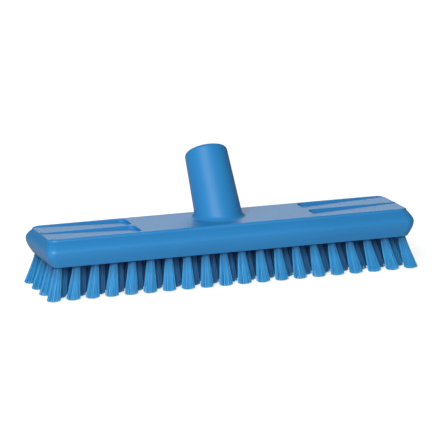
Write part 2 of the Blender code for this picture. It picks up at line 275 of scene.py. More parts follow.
# %% Helpers: loft and object
def add_loft(shape, rings):
    """Skin a closed body through rings of points."""
    loops = [[shape.verts.new(point) for point in ring] for ring in rings]
    count = len(loops[0])
    for low, high in zip(loops, loops[1:]):
        for i in range(count):
            j = (i + 1) % count
            shape.faces.new((low[i], low[j], high[j], high[i]))
    shape.faces.new(loops[0][::-1])
    shape.faces.new(loops[-1])


def new_object(name, shape):
    """Turn a bmesh into an object whose faces point outwards."""
    bmesh.ops.recalc_face_normals(shape, faces=shape.faces)
    mesh = bpy.data.meshes.new(name)
    shape.to_mesh(mesh)
    shape.free()
    made = bpy.data.objects.new(name, mesh)
    bpy.context.scene.collection.objects.link(made)
    return made


def lofted(name, rings):
    shape = bmesh.new()
    add_loft(shape, rings)
    return new_object(name, shape)


print("Helpers ready:", lofted.__name__)

# %% [markdown]
# ## The block
# The flank is a soft V: straight above and below, and rounded only near the nose. A hyperbola
# does just that. The top edge is a small quarter round, as a mould needs, and the underside's
# edge is finer still.

# %% Rings of the block
FLANK_STEPS = 12
CORNER_STEPS = 12
EDGE_STEPS = 6
RING_CROWDING = 1.5


def quarter_turn(steps, first=0):
    """Angles up to a right angle, from 0 or from a later step."""
    return [math.pi / 2 * i / steps for i in range(first, steps + 1)]


def full_turn(steps):
    """Angles all the way round."""
    return [math.tau * i / steps for i in range(steps)]


def rounded_rectangle(half_length, half_depth, radius, z):
    points = []
    for quarter, (side_x, side_y) in enumerate(((1, 1), (-1, 1), (-1, -1), (1, -1))):
        for i in range(CORNER_STEPS + 1):
            angle = math.pi / 2 * (quarter + i / CORNER_STEPS)
            points.append(Vector((side_x * (half_length - radius) + radius * math.cos(angle),
                                  side_y * (half_depth - radius) + radius * math.sin(angle), z)))
    return points


def block_ring(inset_end, inset_face, radius, z):
    return [point + BLOCK_MIDDLE for point in
            rounded_rectangle(BLOCK_LENGTH / 2 - inset_end, BLOCK_DEPTH / 2 - inset_face,
                              radius, z)]


def flank_share(share):
    """How far the flank has drawn in at a share of the way from the nose to its edge."""
    nose = NOSE_ROUND_SHARE
    return (math.hypot(share, nose) - nose) / (math.hypot(1, nose) - nose)


def flank_rings(inset_end, inset_face, height, edge, corner, upwards):
    """Rings from just off the nose to the end of an edge round, upwards or downwards."""
    sign = 1 if upwards else -1
    rings = []
    for i in range(1, FLANK_STEPS + 1):
        share = (i / FLANK_STEPS) ** RING_CROWDING
        drawn = flank_share(share)
        rings.append(block_ring((inset_end - edge) * drawn, (inset_face - edge) * drawn,
                                NOSE_CORNER_RADIUS + (corner - NOSE_CORNER_RADIUS) * drawn,
                                NOSE_Z + sign * (height - edge) * share))
    for angle in quarter_turn(EDGE_STEPS, 1):
        back = edge * math.cos(angle)
        rings.append(block_ring(inset_end - back, inset_face - back, corner,
                                NOSE_Z + sign * (height - edge * (1 - math.sin(angle)))))
    return rings


above = flank_rings(TOP_INSET_END, TOP_INSET_FACE, BLOCK_HEIGHT - NOSE_HEIGHT,
                    TOP_EDGE_RADIUS, TOP_CORNER_RADIUS, True)
below = flank_rings(UNDER_INSET_END, UNDER_INSET_FACE, NOSE_HEIGHT, UNDER_EDGE_RADIUS,
                    UNDER_CORNER_RADIUS, False)
widest = block_ring(0, 0, NOSE_CORNER_RADIUS, NOSE_Z)
moulding = lofted("brush_block_moulding", below[::-1] + [widest] + above)
print("Block:", len(below) + 1 + len(above), "rings")

# %% [markdown]
# ## The socket
# The socket is a tapered tube that leans back by 33 degrees. Its foot meets the level top in a
# fillet, so the lowest rings are level and the highest are square to the leaning axis. The rim
# is a wide quarter round.

# %% Rings of the socket
SOCKET_LEAN = math.radians(33)
SOCKET_FOOT_Y = 0.0048
SOCKET_LENGTH = 0.0568
SOCKET_FOOT_RADIUS = 0.0189
SOCKET_MOUTH_RADIUS = 0.0172
SOCKET_RIM_RADIUS = 0.0030
SOCKET_FILLET = 0.0036
SOCKET_ROOT = 0.0040
SOCKET_SEAT = 0.0001
SOCKET_SIDES = 96
FILLET_STEPS = 8

SOCKET_AXIS = Vector((0, math.sin(SOCKET_LEAN), math.cos(SOCKET_LEAN)))
ACROSS = Vector((0, math.cos(SOCKET_LEAN), -math.sin(SOCKET_LEAN)))
SOCKET_FOOT = BLOCK_MIDDLE + Vector((0, SOCKET_FOOT_Y, TOP_Z))


def socket_radius(along):
    share = along / SOCKET_LENGTH
    return SOCKET_FOOT_RADIUS + (SOCKET_MOUTH_RADIUS - SOCKET_FOOT_RADIUS) * share


def square_ring(along, radius):
    """A ring square to the socket's axis."""
    centre = SOCKET_FOOT + SOCKET_AXIS * along
    return [centre + Vector((radius * math.cos(angle), 0, 0)) + ACROSS * radius * math.sin(angle)
            for angle in full_turn(SOCKET_SIDES)]


def level_ring(height, flare_share):
    """Where the tapered tube meets a level plane, flared outwards for the foot's fillet."""
    taper = (SOCKET_FOOT_RADIUS - SOCKET_MOUTH_RADIUS) / SOCKET_LENGTH
    points = []
    for angle in full_turn(SOCKET_SIDES):
        tilt = math.sin(angle) * math.sin(SOCKET_LEAN)
        along = (height + SOCKET_FOOT_RADIUS * tilt) / (math.cos(SOCKET_LEAN) + taper * tilt)
        radius = socket_radius(along)
        x = radius * math.cos(angle)
        y = along * math.sin(SOCKET_LEAN) + radius * math.sin(angle) * math.cos(SOCKET_LEAN)
        # The fillet is full at the sides and takes the room that is left towards the edges
        edge_y = math.copysign(TOP_HALF_DEPTH, math.sin(angle))
        foot_y = SOCKET_FOOT_Y + math.sin(angle) * SOCKET_FOOT_RADIUS / math.cos(SOCKET_LEAN)
        room = max(abs(edge_y - foot_y) - TOP_EDGE_RADIUS / 2, SOCKET_SEAT)
        flare = min(SOCKET_FILLET, room) * flare_share
        points.append(SOCKET_FOOT + Vector((x + flare * math.cos(angle),
                                            y + flare * math.sin(angle), height)))
    return points


print("Socket mouth at", [round(value, 4) for value in SOCKET_FOOT + SOCKET_AXIS * SOCKET_LENGTH])

# %% The socket's body
foot_ring = level_ring(-SOCKET_SEAT, 1)
socket_rings = [[point - Vector((0, 0, SOCKET_ROOT)) for point in foot_ring], foot_ring]
for angle in quarter_turn(FILLET_STEPS, 1):
    socket_rings.append(level_ring(SOCKET_FILLET * (1 - math.cos(angle)) - SOCKET_SEAT,
                                   1 - math.sin(angle)))
rim_start = SOCKET_LENGTH - SOCKET_RIM_RADIUS
for angle in quarter_turn(EDGE_STEPS):
    socket_rings.append(square_ring(rim_start + SOCKET_RIM_RADIUS * math.sin(angle),
                                    socket_radius(rim_start)
                                    - SOCKET_RIM_RADIUS * (1 - math.cos(angle))))
socket = lofted("socket", socket_rings)
print("Socket:", len(socket_rings), "rings of", SOCKET_SIDES)

# %% [markdown]
# ## The grooves
# Two shallow grooves run out through each end of the top, with a rib between them. Their
# floors rise towards the end, so that they are almost level with the top there. The cutter has
# the shape of the air in a groove: a small fillet round its floor, an upright wall, and a
# rounded lip that flares out level with the top.

# %% Groove cutters
GROOVE_DEPTH = 0.0026
GROOVE_END_DEPTH = 0.0007
GROOVE_START = 0.0725
GROOVE_CORNER_RADIUS = 0.005
GROOVE_RIM = 0.0022
GROOVE_RIB = 0.0034
GROOVE_FLOOR_FILLET = 0.0007
GROOVE_LIP = 0.0005
OVERRUN = 0.010


def shallowing(x):
    """How deep the groove still is at a place along the block, as a share of its full depth."""
    along = (x - GROOVE_START) / (BLOCK_LENGTH / 2 - TOP_INSET_END - GROOVE_START)
    return 1 + (GROOVE_END_DEPTH / GROOVE_DEPTH - 1) * along


def groove_ring(side_x, side_y, outwards, depth):
    """The groove's outline in plan, moved outwards, with its two inner corners rounded."""
    inner = GROOVE_RIB / 2 - outwards
    outer = TOP_HALF_DEPTH - GROOVE_RIM + outwards
    radius = GROOVE_CORNER_RADIUS + outwards
    arc_x = GROOVE_START + GROOVE_CORNER_RADIUS
    outline = [(BLOCK_LENGTH / 2 + OVERRUN, inner), (BLOCK_LENGTH / 2 + OVERRUN, outer)]
    for quarter, arc_y in ((1, outer - radius), (2, inner + radius)):
        for i in range(CORNER_STEPS + 1):
            angle = math.pi / 2 * (quarter + i / CORNER_STEPS)
            outline.append((arc_x + radius * math.cos(angle), arc_y + radius * math.sin(angle)))
    return [BLOCK_MIDDLE + Vector((side_x * x, side_y * y, TOP_Z - depth * shallowing(x)))
            for x, y in outline]


groove_levels = [(-GROOVE_FLOOR_FILLET * (1 - math.sin(angle)),
                  GROOVE_DEPTH - GROOVE_FLOOR_FILLET * (1 - math.cos(angle)))
                 for angle in quarter_turn(EDGE_STEPS)]
groove_levels += [(GROOVE_LIP * (1 - math.cos(angle)), GROOVE_LIP * (1 - math.sin(angle)))
                  for angle in quarter_turn(EDGE_STEPS)]
groove_levels.append((GROOVE_LIP, -OVERRUN))
air = bmesh.new()
for side_x in (-1, 1):
    for side_y in (-1, 1):
        add_loft(air, [groove_ring(side_x, side_y, *level) for level in groove_levels])
grooves = new_object("grooves", air)
print("Grooves: 4, each of", len(groove_levels), "rings")

# %% [markdown]
# ## Bore and thread
# The handle screws into a coarse internal thread, four turns at 5 mm. The bore is a plain
# loft. The thread follows a rule, so Geometry Nodes make it: a spiral curve, and a trapezoid
# swept along it. The spiral is kept upright while it is swept, so that the trapezoid always
# faces outwards.

# %% Helpers: a Geometry Nodes tree, from its named inputs to its end
def new_tree(name, inputs):
    """A tree with a geometry input and output and the named inputs of a modifier."""
    tree = bpy.data.node_groups.new(name, "GeometryNodeTree")
    tree.interface.new_socket("Geometry", in_out="INPUT", socket_type="NodeSocketGeometry")
    tree.interface.new_socket("Geometry", in_out="OUTPUT", socket_type="NodeSocketGeometry")
    for label, kind in inputs:
        tree.interface.new_socket(label, in_out="INPUT", socket_type="NodeSocket" + kind)
    return tree, tree.nodes.new("NodeGroupInput").outputs, tree.nodes.new("NodeGroupOutput")


def end_tree(tree, geometry, finish, result):
    """Make the instances real, give the faces their finish, and end the tree."""
    plain = add_node(tree, "GeometryNodeRealizeInstances", {0: geometry})
    finished = add_node(tree, "GeometryNodeSetMaterial",
                        {"Geometry": plain.outputs[0], "Material": finish})
    tree.links.new(finished.outputs[0], result.inputs[0])


def grown(name, base, tree, values):
    """Run a tree on a base mesh and return the result as one plain mesh object."""
    step = base.modifiers.new(tree.name, "NODES")
    step.node_group = tree
    for item in tree.interface.items_tree:
        if item.in_out == "INPUT" and item.name in values:
            step[item.identifier] = values[item.name]
    shape = base.evaluated_get(bpy.context.evaluated_depsgraph_get())
    mesh = bpy.data.meshes.new_from_object(shape)
    mesh.name = name
    made = bpy.data.objects.new(name, mesh)
    bpy.context.scene.collection.objects.link(made)
    bpy.data.objects.remove(base)
    return made


def points_object(name, places):
    """A mesh of loose points, one for each place."""
    mesh = bpy.data.meshes.new(name)
    mesh.from_pydata(places, [], [])
    made = bpy.data.objects.new(name, mesh)
    bpy.context.scene.collection.objects.link(made)
    return made


print("Helpers ready:", grown.__name__)

# %% Bore
BORE_RADIUS = 0.0104
THREAD_ROOT_RADIUS = 0.0116
BORE_DEPTH = 0.043
BORE_LEAD_IN = 0.004
MOUTH_ROUND = 0.0008

lead = SOCKET_LENGTH - BORE_LEAD_IN
bore_rings = [square_ring(SOCKET_LENGTH - BORE_DEPTH, BORE_RADIUS),
              square_ring(lead - (THREAD_ROOT_RADIUS - BORE_RADIUS), BORE_RADIUS),
              square_ring(lead, THREAD_ROOT_RADIUS)]
for angle in quarter_turn(EDGE_STEPS):
    bore_rings.append(square_ring(SOCKET_LENGTH - MOUTH_ROUND * (1 - math.sin(angle)),
                                  THREAD_ROOT_RADIUS + MOUTH_ROUND * (1 - math.cos(angle))))
bore_rings.append(square_ring(SOCKET_LENGTH + OVERRUN, THREAD_ROOT_RADIUS + MOUTH_ROUND))
bore = lofted("bore", bore_rings)
print("Bore:", 2 * BORE_RADIUS * 1000, "mm wide")

# %% Tree: a trapezoid swept along a spiral
THREAD_PITCH = 0.005
THREAD_TURNS = 4
THREAD_WIDTH_SHARE = 0.56
THREAD_CREST_SHARE = 0.30
THREAD_SINK = 0.0008
THREAD_STEPS = 48

tree, given, result = new_tree("thread_sweep", (
    ("Pitch", "Float"), ("Turns", "Float"), ("Radius", "Float"), ("Depth", "Float"),
    ("Root width", "Float"), ("Crest width", "Float"), ("Finish", "Material")))
spiral = add_node(tree, "GeometryNodeCurveSpiral",
                  {"Resolution": THREAD_STEPS, "Rotations": given["Turns"],
                   "Start Radius": given["Radius"], "End Radius": given["Radius"],
                   "Height": math_node(tree, "MULTIPLY", given["Pitch"], given["Turns"])})
upright = add_node(tree, "GeometryNodeSetCurveNormal", {"Curve": spiral.outputs[0]},
                   mode="Z_UP")
corner_points = {}
for number, (width, side, depth) in enumerate((("Root width", -1, 0), ("Root width", 1, 0),
                                               ("Crest width", 1, 1), ("Crest width", -1, 1))):
    reach = math_node(tree, "MULTIPLY", given["Depth"], depth)
    half = math_node(tree, "MULTIPLY", given[width], side / 2)
    corner = add_node(tree, "ShaderNodeCombineXYZ", {0: reach, 1: half})
    corner_points[f"Point {number + 1}"] = corner.outputs[0]
profile = add_node(tree, "GeometryNodeCurvePrimitiveQuadrilateral", corner_points, mode="POINTS")
swept = add_node(tree, "GeometryNodeCurveToMesh",
                 {"Curve": upright.outputs[0], "Profile Curve": profile.outputs[0],
                  "Fill Caps": True})
end_tree(tree, swept.outputs[0], given["Finish"], result)
print("Tree ready:", len(tree.nodes), "nodes")

# %% The thread in its place on the bore
thread = grown("thread", points_object("thread_seed", [(0, 0, 0)]), tree,
               {"Pitch": THREAD_PITCH, "Turns": float(THREAD_TURNS),
                "Radius": BORE_RADIUS - THREAD_SINK,
                "Depth": THREAD_ROOT_RADIUS - BORE_RADIUS + THREAD_SINK,
                "Root width": THREAD_PITCH * THREAD_WIDTH_SHARE,
                "Crest width": THREAD_PITCH * THREAD_CREST_SHARE})
start = SOCKET_LENGTH - BORE_LEAD_IN - THREAD_PITCH * (THREAD_TURNS + THREAD_WIDTH_SHARE)
lean = SOCKET_AXIS.to_track_quat("Z", "Y").to_matrix().to_4x4()
thread.data.transform(Matrix.Translation(SOCKET_FOOT + SOCKET_AXIS * start) @ lean)
print("Thread:", len(thread.data.polygons), "faces")

# %% [markdown]
# ## Where the tufts stand
# Rows of 20 and 19 tufts alternate and are staggered. The tips fan out towards the ends and
# the long faces of the block, so each tuft's point carries its lean, from root to tip. At the
# ends they lean a little less than the CAD's few strands do, because a full tuft fans wider.

# %% Tuft places
ROWS = 7
ROW_EDGE_GAP = 0.0048
TUFTS_IN_LONG_ROW = 20
TUFT_END_GAP = 0.0044
LONG_ROW_HALF = BLOCK_LENGTH / 2 - UNDER_INSET_END - TUFT_END_GAP
TUFT_PITCH = LONG_ROW_HALF * 2 / (TUFTS_IN_LONG_ROW - 1)
ROWS_HALF_DEPTH = BLOCK_DEPTH / 2 - UNDER_INSET_FACE - ROW_EDGE_GAP
ROW_PITCH = ROWS_HALF_DEPTH * 2 / (ROWS - 1)
END_SPLAY = math.radians(12.4)
END_SPLAY_POWER = 1.1
FACE_SPLAY = math.radians(12)


def row_y(row):
    return ROW_PITCH * (row - (ROWS - 1) / 2)


def tuft_places(row):
    """Tuft centres of one row, measured from the block's middle."""
    count = TUFTS_IN_LONG_ROW - row % 2
    return [Vector((TUFT_PITCH * (i - (count - 1) / 2), row_y(row), 0)) for i in range(count)]


def tuft_lean(place):
    """The way from a tuft's root to its tip."""
    outward = abs(place.x) / LONG_ROW_HALF
    splay_x = math.copysign(END_SPLAY * outward ** END_SPLAY_POWER, place.x)
    splay_y = FACE_SPLAY * place.y / row_y(ROWS - 1)
    return Vector((math.tan(splay_x), math.tan(splay_y), -1)) * BRISTLE_LENGTH


def tuft_points(name, rows, z):
    """A mesh with one point for each tuft of these rows, at one level, with its lean."""
    places = [place for row in rows for place in tuft_places(row)]
    made = points_object(name, [place + BLOCK_MIDDLE + Vector((0, 0, z)) for place in places])
    leans = made.data.attributes.new("lean", "FLOAT_VECTOR", "POINT")
    for value, place in zip(leans.data, places):
        value.vector = tuft_lean(place)
    return made


print("Tufts:", sum(len(tuft_places(row)) for row in range(ROWS)))

# %% [markdown]
# ## A piece repeated on points
# The 137 blind holes and the 137 wire anchors are the same job: one small shape, repeated on the
# tufts' points. A tree takes the shape as an object and the finish as a material.

# %% Tree: a piece on every point
piece_tree, given, result = new_tree("piece_on_tufts", (("Piece", "Object"),
                                                        ("Finish", "Material")))
model = add_node(piece_tree, "GeometryNodeObjectInfo", {"Object": given["Piece"]})
copies = add_node(piece_tree, "GeometryNodeInstanceOnPoints",
                  {"Points": given["Geometry"], "Instance": model.outputs["Geometry"]})
end_tree(piece_tree, copies.outputs[0], given["Finish"], result)
print("Tree ready:", piece_tree.name)

# %% [markdown]
# ## Tuft holes
# Each hole is drilled 13 mm deep with a small countersink at the underside. The floor of a
# drilled hole is a shallow cone.

# %% Tuft holes
HOLE_RADIUS = 0.0033
HOLE_DEPTH = 0.0130
HOLE_POINT = 0.0008
HOLE_POINT_RADIUS = HOLE_RADIUS / 4
HOLE_COUNTERSINK = 0.0005
HOLE_SIDES = 20


def hole_ring(radius, z):
    return [Vector((radius * math.cos(angle), radius * math.sin(angle), z))
            for angle in full_turn(HOLE_SIDES)]


drill = lofted("drill", [hole_ring(HOLE_RADIUS + HOLE_COUNTERSINK, -HOLE_COUNTERSINK),
                         hole_ring(HOLE_RADIUS + HOLE_COUNTERSINK, 0),
                         hole_ring(HOLE_RADIUS, HOLE_COUNTERSINK),
                         hole_ring(HOLE_RADIUS, HOLE_DEPTH - HOLE_POINT),
                         hole_ring(HOLE_POINT_RADIUS, HOLE_DEPTH)])
holes = grown("tuft_holes", tuft_points("hole_points", range(ROWS), UNDERSIDE_Z), piece_tree,
              {"Piece": drill})
print("Holes:", len(holes.data.polygons), "faces")

# %% [markdown]
# ## Cutting the moulding
# The cuts are exact Booleans. They are kept live until all are in place, and then baked into
# one plain mesh. Weighted normals come next: they give a large flat face its own shade right up
# to the small round beside it.

# %% Cut and join
for tool, operation in ((socket, "UNION"), (grooves, "DIFFERENCE"), (bore, "DIFFERENCE"),
                        (thread, "DIFFERENCE"), (holes, "DIFFERENCE")):
    step = moulding.modifiers.new(tool.name, "BOOLEAN")
    step.operation = operation
    step.solver = "EXACT"
    step.object = tool

cut = moulding.evaluated_get(bpy.context.evaluated_depsgraph_get())
cut_mesh = bpy.data.meshes.new_from_object(cut)
moulding.modifiers.clear()
moulding.data = cut_mesh
for tool in (socket, grooves, bore, thread, holes, drill):
    bpy.data.objects.remove(tool)
print("Moulding:", len(moulding.data.polygons), "faces")

# %% Shading of the moulding
SHARP_ANGLE = math.radians(35)

moulding.data.shade_smooth()
moulding.data.set_sharp_from_angle(angle=SHARP_ANGLE)
weigh = moulding.modifiers.new("weighted_normals", "WEIGHTED_NORMAL")
weigh.mode = "FACE_AREA"
weigh.keep_sharp = True
print("Shading:", weigh.name)

# %% [markdown]
# ## Finish of the moulding
# Polypropylene straight from the mould is satin, not glossy. Its blue wavers a little where
# the melt flowed, the surface has a fine grain, and the nose, which meets walls and skirting
# boards, is rubbed a little paler and rougher. All of it is made of noise in the object's own
# coordinates, so it stays put from any side.

# %% Helpers: colours, bump and finishes
def mix_colours(tree, share, first, second):
    """The first colour where the share is 0, the second where it is 1."""
    return add_node(tree, "ShaderNodeMix", {0: share, 6: first, 7: second},
                    data_type="RGBA").outputs[2]


def bump(tree, height, strength, distance, **under):
    """A bump, laid over another one where that is given as Normal."""
    return add_node(tree, "ShaderNodeBump", {"Height": height, "Strength": strength,
                                             "Distance": distance, **under}).outputs[0]


def new_finish(name):
    """A material, its tree, and the places on the object where its patterns are read."""
    finish = bpy.data.materials.new(name)
    finish.use_nodes = True
    tree = finish.node_tree
    return finish, tree, add_node(tree, "ShaderNodeTexCoord").outputs["Object"]


def coat(finish, colour, roughness, normal, **plain):
    """Link the patterns to the finish's shader, and set its plain values."""
    shader = finish.node_tree.nodes["Principled BSDF"]
    for label, socket in (("Base Color", colour), ("Roughness", roughness), ("Normal", normal)):
        finish.node_tree.links.new(socket, shader.inputs[label])
    for label, value in plain.items():
        shader.inputs[label].default_value = value


print("Helpers ready:", new_finish.__name__, coat.__name__)

# %% Patterns of the block plastic
FLOW_STRETCH = (9, 40, 40)
FLOW_SCALE, FLOW_DETAIL = 1.0, 4.0
SPECKLE_SCALE, SPECKLE_DETAIL = 900.0, 2.0
GRAIN_SCALE, GRAIN_DETAIL = 2600.0, 2.0
WAVE_SCALE, WAVE_DETAIL = 28.0, 1.0
PATCH_SCALE, PATCH_DETAIL = 160.0, 3.0

block_plastic, tree, spot = new_finish("block_plastic_satin")
flow_space = add_node(tree, "ShaderNodeMapping", {"Vector": spot, "Scale": FLOW_STRETCH})
flow = noise(tree, flow_space.outputs[0], FLOW_SCALE, FLOW_DETAIL)
speckle = noise(tree, spot, SPECKLE_SCALE, SPECKLE_DETAIL)
grain = noise(tree, spot, GRAIN_SCALE, GRAIN_DETAIL)
wave = noise(tree, spot, WAVE_SCALE, WAVE_DETAIL)
patch = noise(tree, spot, PATCH_SCALE, PATCH_DETAIL)
print("Patterns: flow, speckle, grain, wave, patch")

# %% The rubbed nose: a band along it, broken up by the patches
RUB_REACH = (0.0014, 0.0002)
RUB_PATCHES = (0.50, 0.72)
RUB_STRENGTH = 0.4

height = add_node(tree, "ShaderNodeSeparateXYZ", {0: spot}).outputs[2]
off_nose = math_node(tree, "ABSOLUTE", math_node(tree, "SUBTRACT", height, NOSE_Z))
rubbed = math_node(tree, "MULTIPLY", ranged(tree, off_nose, RUB_REACH, (0, 1)),
                   ranged(tree, patch, RUB_PATCHES, (0, RUB_STRENGTH)))
print("Rubbed up to", RUB_REACH[0] * 1000, "mm from the nose")

# %% Finish: block plastic
BLOCK_BLUE = (0.021, 0.238, 0.562, 1)
BLOCK_DEEP_BLUE = (0.018, 0.222, 0.532, 1)
RUBBED_BLUE = (0.040, 0.265, 0.590, 1)
BLOCK_ROUGHNESS = (0.40, 0.48)
RUBBED_ROUGHER = 0.16
SPECKLE_SHARE = 0.30
GRAIN_BUMP = (0.12, 0.00008)
WAVE_BUMP = (0.25, 0.0006)
BLOCK_IOR = 1.49
# Noise runs from 0 to 1, and hardly ever leaves this part of it
NOISE_SPREAD = (0.3, 0.7)

melt = math_node(tree, "MULTIPLY_ADD", speckle, SPECKLE_SHARE,
                 ranged(tree, flow, NOISE_SPREAD, (0, 1)))
blue = mix_colours(tree, melt, BLOCK_DEEP_BLUE, BLOCK_BLUE)
rough = math_node(tree, "MULTIPLY_ADD", rubbed, RUBBED_ROUGHER,
                  ranged(tree, speckle, NOISE_SPREAD, BLOCK_ROUGHNESS))
fine = bump(tree, grain, *GRAIN_BUMP)
coat(block_plastic, mix_colours(tree, rubbed, blue, RUBBED_BLUE), rough,
     bump(tree, wave, *WAVE_BUMP, Normal=fine), IOR=BLOCK_IOR)
print("Finish:", block_plastic.name, len(tree.nodes), "nodes")

# %% The moulding takes its finish and its place
moulding.data.materials.clear()
moulding.data.materials.append(block_plastic)
for polygon in moulding.data.polygons:
    polygon.material_index = 0
shape = moulding.evaluated_get(bpy.context.evaluated_depsgraph_get())
finished_mesh = bpy.data.meshes.new_from_object(shape)
moulding.modifiers.clear()
moulding.data = finished_mesh
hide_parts("brush_block")
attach(moulding, "root")
print("Moulding triangles:", sum(len(face.vertices) - 2 for face in finished_mesh.polygons))

# %% [markdown]
# ## Finish of the bristles
# The filaments are dyed a little lighter than the block. Each has its own tone, because it
# catches the light in its own way, and the tree below gives every filament such a number. The
# inner tufts and the roots are given a deeper blue, which is painted shade: it stands in for the
# darkness between the tufts and under the block. The cut tips are paler.

# %% Colours of the bristle plastic
FILAMENT_BLUE = (0.055, 0.450, 0.850, 1)
FILAMENT_DEEP_BLUE = (0.030, 0.340, 0.740, 1)
FILAMENT_TIP_BLUE = (0.090, 0.490, 0.850, 1)
FILAMENT_PAINTED_ROOT_SHADE = (0.020, 0.100, 0.300, 1)
FILAMENT_PAINTED_INNER_SHADE = (0.050, 0.250, 0.570, 1)
# Where a painted shade or the paler tip begins and where it's full: in metres inside the
# field, or along a filament
INNER_REACH, INNER_SHADE = (0.001, 0.008), (0, 1)
ROOT_REACH, ROOT_SHADE = (0, 0.50), (0.75, 0)
TIP_REACH, TIP_SHADE = (0.90, 1), (0, 0.6)
MOTTLE_SCALE, MOTTLE_DETAIL = 700.0, 2.0
MOTTLE_SHARE = 0.25

bristle_plastic, tree, spot = new_finish("bristle_plastic_filament")
tone, along, inside = [add_node(tree, "ShaderNodeAttribute", attribute_name=label).outputs["Fac"]
                       for label in ("tone", "along", "inside")]
mottle = noise(tree, spot, MOTTLE_SCALE, MOTTLE_DETAIL)
tint = math_node(tree, "MULTIPLY_ADD", mottle, MOTTLE_SHARE, tone)
colour = mix_colours(tree, tint, FILAMENT_DEEP_BLUE, FILAMENT_BLUE)
# The inner tufts and the roots get painted shade, a deeper blue laid over the dye
layers = ((inside, INNER_REACH, INNER_SHADE, FILAMENT_PAINTED_INNER_SHADE),
          (along, ROOT_REACH, ROOT_SHADE, FILAMENT_PAINTED_ROOT_SHADE),
          (along, TIP_REACH, TIP_SHADE, FILAMENT_TIP_BLUE))
for value, reach, shade, blue in layers:
    colour = mix_colours(tree, ranged(tree, value, reach, shade), colour, blue)
print("Shades laid over the dye:", len(layers))

# %% Finish: bristle plastic
FILAMENT_ROUGHNESS = (0.40, 0.52)
FILAMENT_BUMP = (0.10, 0.00005)
FILAMENT_IOR = 1.50

coat(bristle_plastic, colour, ranged(tree, tint, (0, 1), FILAMENT_ROUGHNESS),
     bump(tree, mottle, *FILAMENT_BUMP), IOR=FILAMENT_IOR)
print("Finish:", bristle_plastic.name, len(tree.nodes), "nodes")

# %% [markdown]
# ## The filaments
# A tuft is a bundle of round filaments. Geometry Nodes turn each tuft's point into a sunflower
# pattern of points, as tightly packed things arrange themselves, and grow one curve from each:
# straight down inside the hole, then fanning out to the tips, more along the row than across
# it, because the folded tuft lies along its wire. The tips are trimmed flat, a little unevenly.
# A filament that fans out has further to go, so the rim of a tuft ends a little higher than its
# middle, and none passes below the floor.

# %% Tree: tufts of filaments
FILAMENT_POINTS = 7
FILAMENT_SIDES = 5
GOLDEN_ANGLE = math.pi * (3 - math.sqrt(5))

tuft_tree, given, result = new_tree("filament_tufts", (
    ("Filaments", "Int"), ("Filament radius", "Float"), ("Root radius", "Float"),
    ("Tip radii", "Vector"), ("Root depth", "Float"), ("Flare power", "Float"),
    ("Stray", "Float"), ("Trim scatter", "Float"), ("Tip dome", "Float"),
    ("Field middle", "Float"), ("Field half depth", "Float"), ("Field half length", "Float"),
    ("Seed", "Int"), ("Finish", "Material")))


def maths(operation, *values):
    """A Math node of the tuft tree."""
    return math_node(tuft_tree, operation, *values)


def vectors(operation, *values):
    """A Vector Math node of the tuft tree. The second value of SCALE is a plain number."""
    sockets = {3 if operation == "SCALE" and i == 1 else i: v for i, v in enumerate(values)}
    return add_node(tuft_tree, "ShaderNodeVectorMath", sockets, operation=operation).outputs[0]


def vector(**parts):
    """A vector of the tuft tree from its X, Y and Z."""
    return add_node(tuft_tree, "ShaderNodeCombineXYZ", parts).outputs[0]


def chance(kind, low, high, shift):
    """A random number or vector for each filament."""
    first = 0 if kind == "FLOAT_VECTOR" else 2
    seed = maths("ADD", given["Seed"], shift)
    made = add_node(tuft_tree, "FunctionNodeRandomValue",
                    {first: low, first + 1: high, "Seed": seed}, data_type=kind)
    return made.outputs[0 if first == 0 else 1]


def named(label, kind):
    return add_node(tuft_tree, "GeometryNodeInputNamedAttribute", {"Name": label},
                    data_type=kind).outputs[0]


def stored(geometry, label, kind, value):
    return add_node(tuft_tree, "GeometryNodeStoreNamedAttribute",
                    {"Geometry": geometry, "Name": label, "Value": value},
                    data_type=kind, domain="POINT").outputs[0]


print("Tree started:", tuft_tree.name)

# %% One point for each filament, with its mouth and its tip
HALF_STEP = 0.5
PHASE_PER_METRE = 1000.0
DOME_POWER = 3.0
STRAY_DRAW, TRIM_DRAW, TONE_DRAW = 0, 1, 2

crowd = add_node(tuft_tree, "GeometryNodeDuplicateElements",
                 {"Geometry": given["Geometry"], "Amount": given["Filaments"]}, domain="POINT")
number = crowd.outputs["Duplicate Index"]
share = maths("SQRT", maths("DIVIDE", maths("ADD", number, HALF_STEP), given["Filaments"]))
root = add_node(tuft_tree, "GeometryNodeInputPosition").outputs[0]
root_x, root_y, _ = add_node(tuft_tree, "ShaderNodeSeparateXYZ", {0: root}).outputs
# Each tuft's pattern is turned by its place, so that no two of them are alike
angle = maths("MULTIPLY_ADD", number, GOLDEN_ANGLE, maths("MULTIPLY", root_x, PHASE_PER_METRE))
spoke = vector(X=maths("MULTIPLY", maths("COSINE", angle), share),
               Y=maths("MULTIPLY", maths("SINE", angle), share))
mouth = vectors("ADD", root, vectors("SCALE", spoke, given["Root radius"]))
stray = vectors("SCALE", chance("FLOAT_VECTOR", (-1, -1, 0), (1, 1, 0), STRAY_DRAW),
                given["Stray"])
fan = vectors("ADD", vectors("MULTIPLY", spoke, given["Tip radii"]), stray)
rounded = maths("MULTIPLY", maths("POWER", share, DOME_POWER), given["Tip dome"])
trim = vector(Z=maths("MULTIPLY_ADD", chance("FLOAT", 0.0, 1.0, TRIM_DRAW),
                      given["Trim scatter"], rounded))
end = vectors("ADD", vectors("ADD", root, named("lean", "FLOAT_VECTOR")),
              vectors("ADD", fan, trim))
places = stored(crowd.outputs[0], "mouth", "FLOAT_VECTOR", mouth)
places = stored(places, "tip", "FLOAT_VECTOR", end)
places = stored(places, "tone", "FLOAT", chance("FLOAT", 0.0, 1.0, TONE_DRAW))
print("Attributes: mouth, tip, tone")

# %% How far inside the field of tufts each filament stands
OPEN_END_SHARE = 0.5

